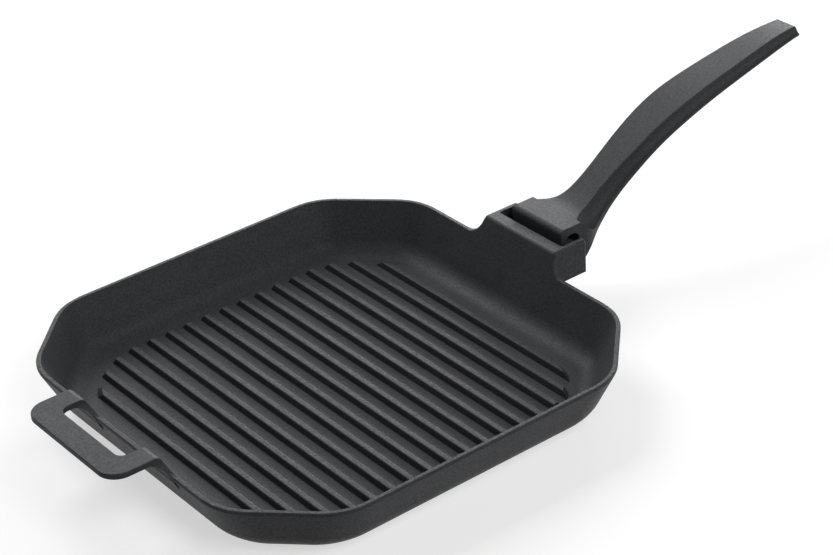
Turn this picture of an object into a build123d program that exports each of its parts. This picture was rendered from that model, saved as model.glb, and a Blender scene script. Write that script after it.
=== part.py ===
# Square cast iron grill pan with cut corners, a helper loop and a lift-off handle.
# Millimetres. +Z is up, the flat base rests on z = 0 with the origin at its centre,
# the lift-off handle points along +X and the helper loop along -X.
import os
from math import radians, sqrt, tan

from build123d import *

os.makedirs("parts", exist_ok=True)

# pan body
rim_half = 140.0         # half of the outer rim, side to side
rim_height = 36.0
corner_cut = 47.5        # length each side of the rim loses to a cut corner
corner_round = 37.0      # plan radius where a side meets a cut corner
rim_width = 2.6
rim_land = 2.0           # upright band round the rim
rim_round = 0.6
wall_draft = 24.0        # wall lean from upright, degrees
base_corner_cut = 37.2   # the same two sizes for the outline of the base
base_corner_round = 50.0
base_round = 22.0
floor_thickness = 5.0
floor_round = 13.0

# ribs
rib_count = 17
rib_pitch = 13.0
rib_height = 4.0
rib_top_width = 3.6
rib_draft = 9.0
rib_top_round = 0.9
rib_margin = 31.5        # rim to rib end
rib_end_round = 44.0     # plan radius of the outline the rib ends follow
rib_end_draft = 38.0
rib_sunk = 0.5           # how far the ribs reach into the floor

# helper loop
loop_rise = 9.8          # top of the loop above the rim
loop_thickness = 3.5
loop_reach = 32.5        # rim to the outer edge of the loop
loop_half_width = 44.3
loop_corner = 12.0
loop_bar = 15.0
loop_edge_round = 0.6
slot_half_width = 30.2
slot_corner = 5.0
arm_crest_round = 4.5
arm_under_round = 10.0
arm_cove = 9.0           # sweep of the arm sides into the wall and the rim

# socket
socket_rise = 12.2
socket_drop = 9.4        # bottom of the socket below the rim
socket_half_width = 32.3
socket_back = 27.8       # rim to the rear face of the socket
socket_cove = 11.0
socket_round = 2.2
sweep_round = 1.4        # front edge of the sweep beside the socket
socket_side_wall = 3.8
socket_front = 11.2      # rim to the front of the well
rear_wall = 6.8
rear_wall_drop = 6.0     # top of the rear wall below the top of the socket
well_floor = 4.6
well_round = 1.6

# handle
hook_half_width = 22.2
tongue_gap = 1.2         # rear wall to the tongue of the hook, inside the well
tongue_thickness = 3.6
plate_lift = 5.3         # top of the handle plate above the socket
plate_thickness = 5.2
hook_round = 3.0
arch_round = 5.0
heel_gap = 0.5           # rear wall to the foot of the heel
heel_relief = 2.9        # rear wall to the heel above its foot
heel_foot = 9.0
heel_thickness = 1.8     # heel above its foot, in front of the shank
edge_round = 0.8
flank_hollow = 0.22      # depth of the hollow flanks for their height
handle_reach = 199.2     # back of the socket to the tip
nose_middle = 109.7      # height of the very tip
nose_top = 114.2         # the round of the nose runs between these two heights
nose_under = 105.3
nose_over = 4.6          # from the tip to where that round starts, above and below
nose_back = 2.8

rim_top = rim_height
loop_top = rim_top + loop_rise
loop_under = loop_top - loop_thickness
socket_top = rim_top + socket_rise
socket_bottom = rim_top - socket_drop
well_bottom = socket_bottom + well_floor
rib_top = floor_thickness + rib_height
lean = tan(radians(wall_draft))
inner_half = rim_half - rim_width
buried = 8.0             # how far roots reach inside the wall before the inside is cut
side_view = Plane.XZ
mirror_view = Plane(origin=(0, 0, 0), x_dir=(-1, 0, 0), z_dir=(0, 1, 0))
loop_plan = Plane(origin=(0, 0, 0), x_dir=(0, 1, 0), z_dir=(0, 0, 1))


def cut_square(h, cut):
    """Corner points of a square of half width h, every side shortened by cut at each end."""
    c = h - cut
    return [(h, -c), (h, c), (c, h), (-c, h), (-h, c), (-h, -c), (-c, -h), (c, -h)]


def rim_outline(inset):
    """Corner points of the rim's outline, every side moved inwards by inset."""
    return cut_square(rim_half - inset, corner_cut - inset * (2 - sqrt(2)))


def wall_x(z):
    """Distance of the inner wall plane from the middle at height z."""
    return inner_half + (z - rim_top) * lean


def coved(middle, half, foot, top, cove, low):
    """Outline of a block standing on foot, its sides swept out into it by cove."""
    left, right = middle - half, middle + half
    with BuildLine() as outline:
        Polyline((left - cove, foot), (left - cove, low), (right + cove, low), (right + cove, foot))
        CenterArc((right + cove, foot + cove), cove, 180, 90)
        Polyline((right, foot + cove), (right, top), (left, top), (left, foot + cove))
        CenterArc((left - cove, foot + cove), cove, 270, 90)
    return outline.line


# the space inside the pan
with BuildPart() as hollow:
    with BuildSketch(Plane.XY.offset(rim_top)):
        Polygon(*rim_outline(rim_width), align=None)
        fillet(vertices(), corner_round - rim_width)
    extrude(amount=-(rim_top - floor_thickness), taper=wall_draft)
    fillet(hollow.faces().sort_by(Axis.Z)[0].edges(), floor_round)

# all the ribs, cut to the outline their ends follow
with BuildPart() as ribs:
    foot_half = rib_top_width / 2 + (rib_height + rib_sunk) * tan(radians(rib_draft))
    with BuildSketch(side_view):
        with GridLocations(rib_pitch, 1, rib_count, 1):
            Polygon(
                (-foot_half, floor_thickness - rib_sunk), (foot_half, floor_thickness - rib_sunk),
                (rib_top_width / 2, rib_top), (-rib_top_width / 2, rib_top), align=None,
            )
        fillet(vertices().group_by(Axis.Y)[-1], rib_top_round)
    extrude(amount=rim_half, both=True)
    with BuildSketch(Plane.XY.offset(rib_top)):
        Polygon(*rim_outline(rib_margin), align=None)
        fillet(vertices(), rib_end_round)
    extrude(amount=-(rib_height + rib_sunk), taper=-rib_end_draft, mode=Mode.INTERSECT)

# the two arms of the helper loop, where they rise out of the wall and the rim
arm_half = (loop_half_width - slot_half_width) / 2
arm_middle = (loop_half_width + slot_half_width) / 2
arm_end = loop_reach - loop_bar + 3
arm_foot = loop_under - arm_under_round - 4
with BuildPart() as arms:
    with BuildSketch(mirror_view):
        with BuildLine():
            Polyline(
                (rim_half + arm_under_round, loop_under), (rim_half + arm_end, loop_under),
                (rim_half + arm_end, loop_top), (wall_x(loop_top), loop_top),
                (inner_half, rim_top), (inner_half - buried, rim_top),
                (inner_half - buried, arm_foot), (rim_half - 2, arm_foot),
                (rim_half, loop_under - arm_under_round),
            )
            CenterArc((rim_half + arm_under_round, loop_under - arm_under_round), arm_under_round, 90, 90)
        make_face()
        fillet(vertices().sort_by_distance((wall_x(loop_top), loop_top))[0], arm_crest_round)
    extrude(amount=rim_half / 2, both=True)
    with BuildSketch(Plane.YZ):
        for middle in (-arm_middle, arm_middle):
            with BuildLine():
                add(coved(middle, arm_half, rim_top, loop_top + 1, arm_cove, 0))
            make_face()
    extrude(amount=-2 * rim_half, mode=Mode.INTERSECT)
    with BuildSketch(loop_plan):
        for middle in (-arm_middle, arm_middle):
            with BuildLine():
                add(coved(middle, arm_half, rim_half, rim_half + loop_reach, arm_cove, 0))
            make_face()
    extrude(amount=rim_half, mode=Mode.INTERSECT)

# the helper loop: its arms and the flat plate with the finger slot
bar_edge = rim_half + loop_reach - loop_bar
with BuildPart() as loop:
    with BuildSketch(loop_plan.offset(loop_under)):
        with Locations((0, rim_half + loop_reach)):
            Rectangle(2 * loop_half_width, loop_bar + slot_corner + 1, align=(Align.CENTER, Align.MAX))
        fillet(vertices().group_by(Axis.Y)[-1], loop_corner)
        with Locations((0, bar_edge)):
            Rectangle(2 * slot_half_width, loop_reach, align=(Align.CENTER, Align.MAX), mode=Mode.SUBTRACT)
        fillet(vertices().filter_by_position(Axis.Y, bar_edge - 0.1, bar_edge + 0.1), slot_corner)
    extrude(amount=loop_thickness)
    add(arms.part)
    flats = loop.faces().filter_by(Axis.Z).sort_by(SortBy.AREA)[-2:]
    clear_of_arms = -rim_half - arm_under_round - 0.5
    fillet(flats.edges().filter_by_position(Axis.X, -rim_half - loop_reach, clear_of_arms), loop_edge_round)

# the wall beside the socket, swept down into the rim on both sides
sweep_top = socket_top - socket_round
with BuildPart() as sweep:
    with BuildSketch(side_view):
        Polygon(
            (inner_half - buried, socket_bottom + 2), (rim_half, socket_bottom + 2),
            (rim_half, rim_top), (wall_x(sweep_top) + rim_width, sweep_top), (wall_x(sweep_top), sweep_top),
            (inner_half, rim_top), (inner_half - buried, rim_top), align=None,
        )
    extrude(amount=rim_half / 2, both=True)
    with BuildSketch(Plane.YZ):
        with BuildLine():
            add(coved(0, socket_half_width, rim_top, socket_top + 1, socket_cove, 0))
        make_face()
    extrude(amount=2 * rim_half, mode=Mode.INTERSECT)
    curved = sweep.edges().filter_by(GeomType.ELLIPSE)
    fillet(curved.sort_by(Axis.X)[:2], sweep_round)

# the socket block with the well the hook drops into
rear_face = rim_half + socket_back
well_front = rim_half + socket_front
well_width = 2 * (socket_half_width - socket_side_wall)
with BuildPart() as socket:
    with BuildSketch(side_view):
        Polygon(
            (inner_half - buried, socket_bottom), (rear_face, socket_bottom),
            (rear_face, socket_top), (wall_x(socket_top), socket_top),
            (inner_half, rim_top), (inner_half - buried, rim_top), align=None,
        )
    extrude(amount=socket_half_width, both=True)
    leaning = socket.faces().filter_by(lambda face: face.normal_at().Z > 0.1 and face.normal_at().X < -0.1)
    upright = socket.faces().sort_by(Axis.X)[-1].edges().filter_by(Axis.Z)
    top_edges = socket.faces().sort_by(Axis.Z)[-1].edges()
    fillet(leaning.edges().filter_by(Axis.Y, reverse=True) + upright + top_edges, socket_round)
    with BuildSketch(Plane.XY.offset(well_bottom)):
        with Locations((well_front, 0)):
            Rectangle(socket_back - socket_front - rear_wall, well_width, align=(Align.MIN, Align.CENTER))
        fillet(vertices(), well_round)
    extrude(amount=socket_top, mode=Mode.SUBTRACT)
    with BuildSketch(Plane.XY.offset(socket_top - rear_wall_drop)):
        with Locations((rear_face + 5, 0)):
            Rectangle(rear_wall + 6, well_width, align=(Align.MAX, Align.CENTER))
    extrude(amount=socket_top, mode=Mode.SUBTRACT)

base_half = rim_half - (rim_height - rim_land) * lean
with BuildPart() as pan:
    with BuildSketch(Plane.XY.offset(rim_top - rim_land)):
        Polygon(*rim_outline(0), align=None)
        fillet(vertices(), corner_round)
    with BuildSketch():
        Polygon(*cut_square(base_half, base_corner_cut), align=None)
        fillet(vertices(), base_corner_round)
    loft(ruled=True)
    extrude(pan.faces().sort_by(Axis.Z)[-1], amount=rim_land)
    fillet(pan.faces().sort_by(Axis.Z)[0].edges(), base_round)
    add(hollow.part, mode=Mode.SUBTRACT)
    fillet(pan.faces().sort_by(Axis.Z)[-1].edges(), rim_round)
    add(loop.part)
    add(sweep.part)
    add(socket.part)
    add(hollow.part, mode=Mode.SUBTRACT)
    add(ribs.part)
pan.part.label = "pan"
export_step(pan.part, "parts/pan.step")

# stations along the handle. Distances run from the back of the socket and heights
# from its bottom: distance, top, half width of the top, upper edge of the side
# flange, half width of the flange, underside
handle_stations = [
    (3.4, 26.9, 19.6, 25.9, 22.0, 0.0),
    (7.4, 26.9, 16.2, 23.4, 22.0, 1.2),
    (17.2, 27.8, 11.7, 16.6, 19.6, 9.6),
    (22.2, 29.6, 10.8, 17.0, 16.8, 11.8),
    (28.6, 33.2, 10.0, 20.6, 14.5, 15.6),
    (37.2, 38.6, 9.8, 26.4, 13.1, 22.1),
    (57.2, 50.8, 11.2, 41.6, 14.3, 37.9),
    (77.2, 61.6, 12.5, 53.1, 15.6, 50.3),
    (97.2, 69.3, 13.3, 61.3, 16.4, 59.0),
    (117.2, 74.5, 12.8, 66.7, 15.7, 64.8),
    (142.2, 79.4, 11.8, 72.2, 14.7, 70.6),
    (172.2, 84.4, 9.9, 78.0, 12.9, 76.4),
    (190.0, 86.0, 8.5, 80.6, 11.3, 79.1),
    (212.0, 87.2, 6.7, 83.0, 9.7, 81.5),
]

tongue_rear = rear_face - rear_wall - tongue_gap
hook_front = tongue_rear - tongue_thickness
plate_top = socket_top + plate_lift
plate_under = plate_top - plate_thickness
heel_front = rear_face + heel_relief
heel_rear = heel_front + heel_thickness
foot_rear = rear_face + heel_gap
foot_top = socket_bottom + heel_foot
with BuildPart() as hook:
    with BuildSketch(side_view):
        Polygon(
            (hook_front, well_bottom), (hook_front, plate_top), (heel_rear, plate_top),
            (heel_rear, socket_bottom), (foot_rear, socket_bottom), (foot_rear, foot_top),
            (heel_front, foot_top + 2 * (heel_relief - heel_gap)),
            (heel_front, plate_under), (tongue_rear, plate_under), (tongue_rear, well_bottom), align=None,
        )
        fillet(vertices().sort_by_distance((hook_front, plate_top))[0], hook_round)
        fillet(vertices().sort_by_distance((heel_front, plate_under))[0], arch_round)
        fillet(vertices().sort_by_distance((tongue_rear, plate_under))[0], arch_round)
    extrude(amount=hook_half_width, both=True)
    side_edges = hook.faces().filter_by(Axis.Y).edges()
    above_well = side_edges.filter_by_position(Axis.Z, well_bottom + 1, plate_top)
    fillet(above_well.filter_by_position(Axis.X, hook_front, heel_front - 0.2), edge_round)

# the shank and grip, with hollow flanks above a flange on each side
with BuildPart() as shank:
    for behind, top, top_half, flange, half, under in handle_stations:
        high, step, low = socket_bottom + top, socket_bottom + flange, socket_bottom + under
        brow, corner = high - edge_round, edge_round * (1 - sqrt(0.5))
        sag_in = flank_hollow * (brow - step) - (half - top_half) / 2
        sag_down = flank_hollow * (half - top_half) + (brow - step) / 2
        with BuildSketch(Plane.YZ.offset(rear_face + behind)):
            with BuildLine():
                for s in (1, -1):
                    ThreePointArc(
                        (s * (top_half - edge_round), high), (s * (top_half - corner), high - corner),
                        (s * top_half, brow),
                    )
                    ThreePointArc(
                        (s * top_half, brow), (s * (top_half - sag_in), brow - sag_down), (s * half, step)
                    )
                    Line((s * half, step), (s * half, low + edge_round))
                    ThreePointArc(
                        (s * half, low + edge_round), (s * (half - corner), low + corner),
                        (s * (half - edge_round), low),
                    )
                Line((top_half - edge_round, high), (edge_round - top_half, high))
                Line((half - edge_round, low), (edge_round - half, low))
            make_face()
    loft()
    tip = rear_face + handle_reach
    with BuildSketch(side_view):
        with BuildLine():
            ThreePointArc((tip - nose_over, nose_top), (tip, nose_middle), (tip - nose_back, nose_under))
            Polyline(
                (tip - nose_back, nose_under), (tip - nose_back, 0), (2 * tip, 0),
                (2 * tip, 2 * nose_top), (tip - nose_over, 2 * nose_top), (tip - nose_over, nose_top),
            )
        make_face()
    extrude(amount=hook_half_width, both=True, mode=Mode.SUBTRACT)

with BuildPart() as handle:
    add(hook.part)
    add(shank.part)
handle.part.label = "handle"
export_step(handle.part, "parts/handle.step")
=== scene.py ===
from math import cos, radians, sin

import bpy
from mathutils import Matrix, Vector

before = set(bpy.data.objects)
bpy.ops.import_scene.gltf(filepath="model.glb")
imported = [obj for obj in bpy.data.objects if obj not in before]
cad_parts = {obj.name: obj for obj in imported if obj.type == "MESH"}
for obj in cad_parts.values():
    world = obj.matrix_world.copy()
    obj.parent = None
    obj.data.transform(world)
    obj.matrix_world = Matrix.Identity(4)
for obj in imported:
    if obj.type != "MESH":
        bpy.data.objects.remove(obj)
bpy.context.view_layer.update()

# Lengths are in metres and lamp powers in watts, except where a comment says otherwise.
WHITE = (1, 1, 1, 1)

IRON_DARK = (0.028, 0.0285, 0.031, 1)
IRON_PALE = (0.046, 0.047, 0.051, 1)
# Paler metal for the level rib tops and rim top: partly wear, partly a painted highlight.
IRON_WORN_AND_HIGHLIT = (0.07, 0.071, 0.075, 1)
IRON_ROUGHNESS = 0.52
IRON_SPECULAR = 0.11
GRAIN_STRENGTH = 0.6
GRAIN_DEPTH = 0.0003

RIB_TOPS = (0.0084, 0.0092)     # lowest and highest height of the wear and painted highlight
RIM_TOP = (0.0355, 0.0362)
WEAR_AND_HIGHLIGHT_FADE_IN = 0.0005              # height over which the wear and painted highlight set in
WEAR_AND_HIGHLIGHT_FADE_OUT = 0.0003                # height over which it fades out
WEAR_AND_HIGHLIGHT_STRENGTH = 0.45

FLOOR_GREY = (0.46, 0.46, 0.46, 1)
FLOOR_REACH = 12.0
FLOOR_DROP = 0.0003             # from the base of the pan down to the floor

WORLD_LIGHT = 0.02              # share of white that falls on things
LAMP_AIM = (0.05, 0.0, 0.02)    # near the middle of the object
HIGH_BOX = (1.0, 1.0)           # width and height of a lamp
LOW_BOX = (1.2, 0.7)

CAMERA_PLACE = (-0.6453, -0.9543, 0.7591)
CAMERA_AZIMUTH = -36.6568       # degrees, as are the next two
CAMERA_ELEVATION = 30.7884
CAMERA_ROLL = -3.4915
CAMERA_LENS = 103.707           # millimetres, as is the sensor's width
CAMERA_SENSOR = 36.0
CAMERA_FAR = 100.0              # how far the camera sees


class Wire:
    """One output of a material's nodes. Python's operators on it add Math nodes."""

    def __init__(self, nodes, socket):
        self.nodes, self.socket = nodes, socket

    def _math(self, operation, *values):
        return self.nodes.add("ShaderNodeMath", {"operation": operation}, dict(enumerate(values)))

    def __add__(self, other):
        return self._math("ADD", self, other)

    def __sub__(self, other):
        return self._math("SUBTRACT", self, other)

    def __rsub__(self, other):
        return self._math("SUBTRACT", other, self)

    def __mul__(self, other):
        return self._math("MULTIPLY", self, other)

    __radd__, __rmul__ = __add__, __mul__

    def least(self, other):
        return self._math("MINIMUM", self, other)

    def ramp(self, low, high, start=0.0, end=1.0):
        """start at low and below, end at high and above, smooth between."""
        return self.nodes.add(
            "ShaderNodeMapRange", {"interpolation_type": "SMOOTHSTEP"},
            {"Value": self, "From Min": low, "From Max": high, "To Min": start, "To Max": end},
        )


class Nodes:
    """The node tree of one material or of the world."""

    def __init__(self, owner):
        owner.use_nodes = True
        self.tree = owner.node_tree
        self.tree.nodes.clear()

    def add(self, kind, settings=None, values=None, out=0):
        node = self.tree.nodes.new(kind)
        for name, value in (settings or {}).items():
            setattr(node, name, value)
        for name, value in (values or {}).items():
            if isinstance(value, Wire):
                self.tree.links.new(value.socket, node.inputs[name])
            else:
                node.inputs[name].default_value = value
        return Wire(self, node.outputs[out])

    def mix(self, share, first, second):
        """first where share is 0 and second where it is 1. Sockets 6, 7 and 2 are the colour ones."""
        return self.add(
            "ShaderNodeMix", {"data_type": "RGBA"}, {"Factor": share, 6: first, 7: second}, out=2
        )

    def place(self):
        """Where a point is, in the object's own coordinates."""
        return self.add("ShaderNodeTexCoord", out="Object")

    def upward(self, vector):
        """The upright part of a vector."""
        return self.add("ShaderNodeSeparateXYZ", values={"Vector": vector}, out="Z")

    def looked_at(self):
        """1 for the camera and in reflections and glass, and 0 for the light that falls on things."""
        path = self.tree.nodes.new("ShaderNodeLightPath")
        camera, glossy, clear = (
            Wire(self, path.outputs[name])
            for name in ("Is Camera Ray", "Is Glossy Ray", "Is Transmission Ray")
        )
        return (camera + glossy + clear).least(1.0)

    def end(self, kind, shader):
        node = self.tree.nodes.new(kind)
        self.tree.links.new(shader.socket, node.inputs["Surface"])


def wear_and_highlight_mask(nodes, low, high):
    """Wear and painted highlight: 1 on level faces between the heights low and high, fading to 0
    around them.
    """
    level = nodes.upward(nodes.add("ShaderNodeNewGeometry", out="Normal")).ramp(0.85, 0.97)
    height = nodes.upward(nodes.place())
    return level * height.ramp(low, low + WEAR_AND_HIGHLIGHT_FADE_IN) * (1 - height.ramp(high, high + WEAR_AND_HIGHLIGHT_FADE_OUT))


def cast_iron(name, seed, wear_and_highlight_heights=()):
    """Matt black cast iron: sand grain, faint cloudy patches, and paler metal on level tops, partly
    wear and partly a painted highlight.

    The list of heights gives, lowest and highest, the bands where the flat tops get wear and a
    painted highlight.
    """
    material = bpy.data.materials.new(name)
    nodes = Nodes(material)
    place = nodes.place()

    def noise(scale, detail, shift):
        moved = nodes.add(
            "ShaderNodeMapping", values={"Vector": place, "Location": (seed + shift, seed, shift)}
        )
        return nodes.add(
            "ShaderNodeTexNoise",
            values={"Vector": moved, "Scale": scale, "Detail": detail, "Roughness": 0.6},
        )

    cloud = noise(scale=24.0, detail=3.0, shift=1.0).ramp(0.3, 0.7)
    grain = noise(scale=820.0, detail=2.0, shift=2.0)
    sand = noise(scale=1900.0, detail=1.0, shift=3.0)
    speckle = grain.ramp(0.34, 0.66)
    colour = nodes.mix(cloud * 0.3 + speckle * 0.7, IRON_DARK, IRON_PALE)
    for low, high in wear_and_highlight_heights:
        # Paler metal on the level tops: partly wear, partly a painted highlight.
        top_wear_and_highlight = wear_and_highlight_mask(nodes, low, high) * speckle * WEAR_AND_HIGHLIGHT_STRENGTH
        colour = nodes.mix(top_wear_and_highlight, colour, IRON_WORN_AND_HIGHLIT)
    normal = nodes.add(
        "ShaderNodeBump",
        values={
            "Strength": GRAIN_STRENGTH,
            "Distance": GRAIN_DEPTH,
            "Height": grain * 0.65 + sand * 0.35,
        },
    )
    shader = nodes.add(
        "ShaderNodeBsdfPrincipled",
        values={
            "Base Color": colour,
            "Roughness": IRON_ROUGHNESS + cloud * 0.06 - speckle * 0.1,
            "Normal": normal,
            "Specular IOR Level": IRON_SPECULAR,
        },
    )
    nodes.end("ShaderNodeOutputMaterial", shader)
    return material


def floor_finish():
    """Pale matt floor, lifted to white by a glow that only the camera, reflections and glass see.

    The glow grows with distance, where less lamplight falls.
    """
    material = bpy.data.materials.new("pale_floor")
    nodes = Nodes(material)
    matt = nodes.add("ShaderNodeBsdfDiffuse", values={"Color": FLOOR_GREY})
    away = nodes.add("ShaderNodeVectorMath", {"operation": "LENGTH"}, {0: nodes.place()}, out="Value")
    glow = nodes.looked_at() * away.ramp(0.8, 4.0, start=0.6, end=1.0)
    lift = nodes.add("ShaderNodeEmission", values={"Color": WHITE, "Strength": glow})
    both = nodes.add("ShaderNodeAddShader", values={0: matt, 1: lift})
    nodes.end("ShaderNodeOutputMaterial", both)
    return material


def add_floor(reach):
    mesh = bpy.data.meshes.new("floor")
    corners = [(-reach, -reach, 0), (reach, -reach, 0), (reach, reach, 0), (-reach, reach, 0)]
    mesh.from_pydata(corners, [], [(0, 1, 2, 3)])
    floor = bpy.data.objects.new("floor", mesh)
    bpy.context.scene.collection.objects.link(floor)
    mesh.materials.append(floor_finish())
    floor.location.z = -FLOOR_DROP


def add_world(ambient):
    """White to the camera, in reflections and through glass, and a dim even light otherwise."""
    world = bpy.data.worlds.new("studio")
    bpy.context.scene.world = world
    nodes = Nodes(world)
    strength = nodes.looked_at() * (1 - ambient) + ambient
    sky = nodes.add("ShaderNodeBackground", values={"Color": WHITE, "Strength": strength})
    nodes.end("ShaderNodeOutputWorld", sky)


def add_softbox(name, place, size, power):
    """Rectangular lamp at place, turned to the middle of the object."""
    lamp = bpy.data.lights.new(name, "AREA")
    lamp.shape, lamp.energy = "RECTANGLE", power
    lamp.size, lamp.size_y = size
    box = bpy.data.objects.new(name, lamp)
    box.location = place
    box.rotation_mode = "QUATERNION"
    box.rotation_quaternion = (Vector(LAMP_AIM) - Vector(place)).to_track_quat("-Z", "Y")
    bpy.context.scene.collection.objects.link(box)


def add_camera():
    """The photograph's view, fitted to the rim, the base and the ribs of the pan."""
    azimuth, elevation = radians(CAMERA_AZIMUTH), radians(CAMERA_ELEVATION)
    roll = radians(CAMERA_ROLL)
    back = Vector((sin(azimuth) * cos(elevation), -cos(azimuth) * cos(elevation), sin(elevation)))
    level = Vector((cos(azimuth), sin(azimuth), 0))
    upright = back.cross(level)
    right = level * cos(roll) + upright * sin(roll)
    up = upright * cos(roll) - level * sin(roll)
    lens = bpy.data.cameras.new("camera")
    lens.lens, lens.sensor_width, lens.clip_end = CAMERA_LENS, CAMERA_SENSOR, CAMERA_FAR
    camera = bpy.data.objects.new("camera", lens)
    turn = Matrix((right, up, back)).transposed()
    camera.matrix_world = Matrix.Translation(CAMERA_PLACE) @ turn.to_4x4()
    bpy.context.scene.collection.objects.link(camera)
    bpy.context.scene.camera = camera


finishes = {
    # The pan's rib tops and rim top get paler metal: partly wear, partly a painted highlight.
    "pan": cast_iron("pan_cast_iron", seed=0.0, wear_and_highlight_heights=[RIB_TOPS, RIM_TOP]),
    "handle": cast_iron("handle_cast_iron", seed=3.0),
}
for name, finish in finishes.items():
    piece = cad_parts[name]
    piece.data.materials.clear()
    piece.data.materials.append(finish)

add_camera()
add_floor(FLOOR_REACH)
add_world(WORLD_LIGHT)
add_softbox("high_left", (0.05, 1.2, 1.2), HIGH_BOX, 20.5)
add_softbox("low_behind", (1.33, 1.28, 0.59), LOW_BOX, 23.5)
add_softbox("high_right", (0.05, -1.2, 1.2), HIGH_BOX, 12.5)
add_softbox("low_right", (1.33, -1.28, 0.59), LOW_BOX, 6.5)

bpy.context.scene.view_settings.view_transform = "Standard"
